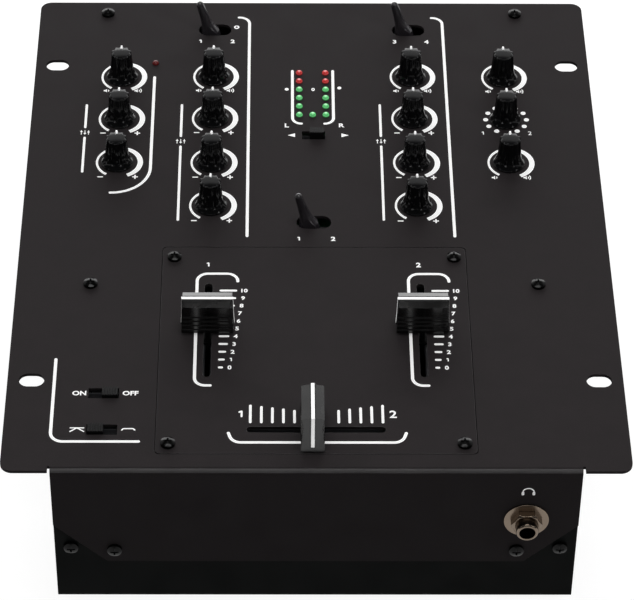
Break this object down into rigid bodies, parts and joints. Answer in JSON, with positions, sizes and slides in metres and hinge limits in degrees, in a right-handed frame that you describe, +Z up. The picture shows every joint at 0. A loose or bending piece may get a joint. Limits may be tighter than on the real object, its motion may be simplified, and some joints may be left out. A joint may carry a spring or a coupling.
{
  "type": "dj mixer",
  "caption": "Two-channel DJ mixer with rotary controls, level meter, lever selectors, faders and a folded steel body under a slotted face plate.",
  "frame": {"origin": "on the ground, under the middle of the face plate", "axes": "+X to the user's right, +Y to the rear panel, +Z up"},
  "size_m": [0.254, 0.3206, 0.0993],
  "materials": {
    "plate_paint": "fine-textured satin black powder coat",
    "tray_paint": "satin black paint",
    "foot_rubber": "matte black rubber",
    "black_screw": "black oxide, slightly glossy",
    "brass_spacer": "turned brass",
    "zinc_steel": "zinc-plated steel",
    "circuit_board": "green solder mask",
    "red_lamp": "tinted clear epoxy, lit red",
    "green_lamp": "tinted clear epoxy, lit green",
    "switch_case": "black moulded plastic",
    "nickel": "nickel-plated brass",
    "black_moulding": "black moulded plastic",
    "gold_plate": "gold-plated brass",
    "knob_gloss": "glossy black plastic",
    "slider_plastic": "black plastic with grip ribs",
    "carriage_nylon": "white nylon",
    "cap_plastic": "satin black plastic",
    "white_print": "white ink"
  },
  "bodies": {
    "chassis": {"face_plate": "plate_paint", "fader_panel": "plate_paint", "base_tray": "tray_paint", "side_panel_left": "tray_paint", "side_panel_right": "tray_paint", "feet": "foot_rubber", "plate_screws": "black_screw", "panel_screws": "black_screw", "front_screws": "black_screw", "rear_screws": "black_screw", "board_spacers": "brass_spacer", "fader_nuts": "zinc_steel", "main_board": "circuit_board", "jack_board": "circuit_board", "red_leds": "red_lamp", "green_leds": "green_lamp", "potentiometers": "zinc_steel", "lever_switches": "switch_case", "slide_switches": "zinc_steel", "ch1_fader_track": "zinc_steel", "ch2_fader_track": "zinc_steel", "crossfader_track": "zinc_steel", "headphone_jack": "nickel", "jack_washers": "nickel", "jack_nuts": "nickel", "mic_jack": "nickel", "rca_blocks": "black_moulding", "rca_shells": "gold_plate", "power_switch": "black_moulding", "power_inlet": "black_moulding", "ground_post": "nickel"},
    "mic_level_control": {"mic_level_knob": "knob_gloss"},
    "mic_high_control": {"mic_high_knob": "knob_gloss"},
    "mic_low_control": {"mic_low_knob": "knob_gloss"},
    "ch1_gain_control": {"ch1_gain_knob": "knob_gloss"},
    "ch1_high_control": {"ch1_high_knob": "knob_gloss"},
    "ch1_mid_control": {"ch1_mid_knob": "knob_gloss"},
    "ch1_low_control": {"ch1_low_knob": "knob_gloss"},
    "ch2_gain_control": {"ch2_gain_knob": "knob_gloss"},
    "ch2_high_control": {"ch2_high_knob": "knob_gloss"},
    "ch2_mid_control": {"ch2_mid_knob": "knob_gloss"},
    "ch2_low_control": {"ch2_low_knob": "knob_gloss"},
    "master_control": {"master_knob": "knob_gloss"},
    "cue_mix_control": {"cue_mix_knob": "knob_gloss"},
    "cue_level_control": {"cue_level_knob": "knob_gloss"},
    "ch1_source_selector": {"ch1_source_lever": "knob_gloss"},
    "ch2_source_selector": {"ch2_source_lever": "knob_gloss"},
    "cue_source_selector": {"cue_source_lever": "knob_gloss"},
    "meter_selector": {"meter_slider": "slider_plastic"},
    "reverse_selector": {"reverse_slider": "slider_plastic"},
    "curve_selector": {"curve_slider": "slider_plastic"},
    "phono_selector_1": {"phono_slider_1": "slider_plastic"},
    "phono_selector_2": {"phono_slider_2": "slider_plastic"},
    "ch1_fader_slide_group": {"ch1_fader_carriage": "carriage_nylon", "ch1_fader_cap": "cap_plastic"},
    "ch2_fader_slide_group": {"ch2_fader_carriage": "carriage_nylon", "ch2_fader_cap": "cap_plastic"},
    "crossfader_slide_group": {"crossfader_carriage": "carriage_nylon", "crossfader_cap": "cap_plastic"},
    "power_button": {"power_rocker": "knob_gloss"}
  },
  "joints": [
    {"name": "mic_level_turn", "type": "hinge", "parent": "chassis", "child": "mic_level_control", "pos_m": [-0.087, 0.097, 0.0825], "axis": [0, 0, -1], "range_deg": [-150, 150]},
    {"name": "mic_high_turn", "type": "hinge", "parent": "chassis", "child": "mic_high_control", "pos_m": [-0.087, 0.067, 0.0825], "axis": [0, 0, -1], "range_deg": [-150, 150]},
    {"name": "mic_low_turn", "type": "hinge", "parent": "chassis", "child": "mic_low_control", "pos_m": [-0.087, 0.037, 0.0825], "axis": [0, 0, -1], "range_deg": [-150, 150]},
    {"name": "ch1_gain_turn", "type": "hinge", "parent": "chassis", "child": "ch1_gain_control", "pos_m": [-0.045, 0.0973, 0.0825], "axis": [0, 0, -1], "range_deg": [-150, 150]},
    {"name": "ch1_high_turn", "type": "hinge", "parent": "chassis", "child": "ch1_high_control", "pos_m": [-0.045, 0.0675, 0.0825], "axis": [0, 0, -1], "range_deg": [-150, 150]},
    {"name": "ch1_mid_turn", "type": "hinge", "parent": "chassis", "child": "ch1_mid_control", "pos_m": [-0.045, 0.0369, 0.0825], "axis": [0, 0, -1], "range_deg": [-150, 150]},
    {"name": "ch1_low_turn", "type": "hinge", "parent": "chassis", "child": "ch1_low_control", "pos_m": [-0.045, 0.008, 0.0825], "axis": [0, 0, -1], "range_deg": [-150, 150]},
    {"name": "ch2_gain_turn", "type": "hinge", "parent": "chassis", "child": "ch2_gain_control", "pos_m": [0.045, 0.0973, 0.0825], "axis": [0, 0, -1], "range_deg": [-150, 150]},
    {"name": "ch2_high_turn", "type": "hinge", "parent": "chassis", "child": "ch2_high_control", "pos_m": [0.045, 0.0675, 0.0825], "axis": [0, 0, -1], "range_deg": [-150, 150]},
    {"name": "ch2_mid_turn", "type": "hinge", "parent": "chassis", "child": "ch2_mid_control", "pos_m": [0.045, 0.0369, 0.0825], "axis": [0, 0, -1], "range_deg": [-150, 150]},
    {"name": "ch2_low_turn", "type": "hinge", "parent": "chassis", "child": "ch2_low_control", "pos_m": [0.045, 0.008, 0.0825], "axis": [0, 0, -1], "range_deg": [-150, 150]},
    {"name": "master_turn", "type": "hinge", "parent": "chassis", "child": "master_control", "pos_m": [0.087, 0.097, 0.0825], "axis": [0, 0, -1], "range_deg": [-150, 150]},
    {"name": "cue_mix_turn", "type": "hinge", "parent": "chassis", "child": "cue_mix_control", "pos_m": [0.087, 0.067, 0.0825], "axis": [0, 0, -1], "range_deg": [-150, 150]},
    {"name": "cue_level_turn", "type": "hinge", "parent": "chassis", "child": "cue_level_control", "pos_m": [0.087, 0.037, 0.0825], "axis": [0, 0, -1], "range_deg": [-150, 150]},
    {"name": "ch1_source_throw", "type": "hinge", "parent": "chassis", "child": "ch1_source_selector", "pos_m": [-0.045, 0.132, 0.0735], "axis": [0, 1, 0], "range_deg": [0, 32]},
    {"name": "ch2_source_throw", "type": "hinge", "parent": "chassis", "child": "ch2_source_selector", "pos_m": [0.045, 0.132, 0.0735], "axis": [0, 1, 0], "range_deg": [0, 32]},
    {"name": "cue_source_throw", "type": "hinge", "parent": "chassis", "child": "cue_source_selector", "pos_m": [0, -0.0028, 0.0735], "axis": [0, 1, 0], "range_deg": [0, 32]},
    {"name": "meter_slide", "type": "slide", "parent": "chassis", "child": "meter_selector", "axis": [1, 0, 0], "range_m": [-0.003, 0]},
    {"name": "reverse_slide", "type": "slide", "parent": "chassis", "child": "reverse_selector", "axis": [1, 0, 0], "range_m": [-0.0052, 0]},
    {"name": "curve_slide", "type": "slide", "parent": "chassis", "child": "curve_selector", "axis": [1, 0, 0], "range_m": [0, 0.0052]},
    {"name": "phono_slide_1", "type": "slide", "parent": "chassis", "child": "phono_selector_1", "axis": [1, 0, 0], "range_m": [0, 0.0042]},
    {"name": "phono_slide_2", "type": "slide", "parent": "chassis", "child": "phono_selector_2", "axis": [1, 0, 0], "range_m": [0, 0.0042]},
    {"name": "ch1_fader_slide", "type": "slide", "parent": "chassis", "child": "ch1_fader_slide_group", "axis": [0, 1, 0], "range_m": [-0.02415, 0.02085]},
    {"name": "ch2_fader_slide", "type": "slide", "parent": "chassis", "child": "ch2_fader_slide_group", "axis": [0, 1, 0], "range_m": [-0.02415, 0.02085]},
    {"name": "crossfader_slide", "type": "slide", "parent": "chassis", "child": "crossfader_slide_group", "axis": [1, 0, 0], "range_m": [-0.021, 0.024]},
    {"name": "power_rock", "type": "hinge", "parent": "chassis", "child": "power_button", "pos_m": [0.082, 0.147, 0.052], "axis": [0, 0, 1], "range_deg": [0, 20]}
  ]
}
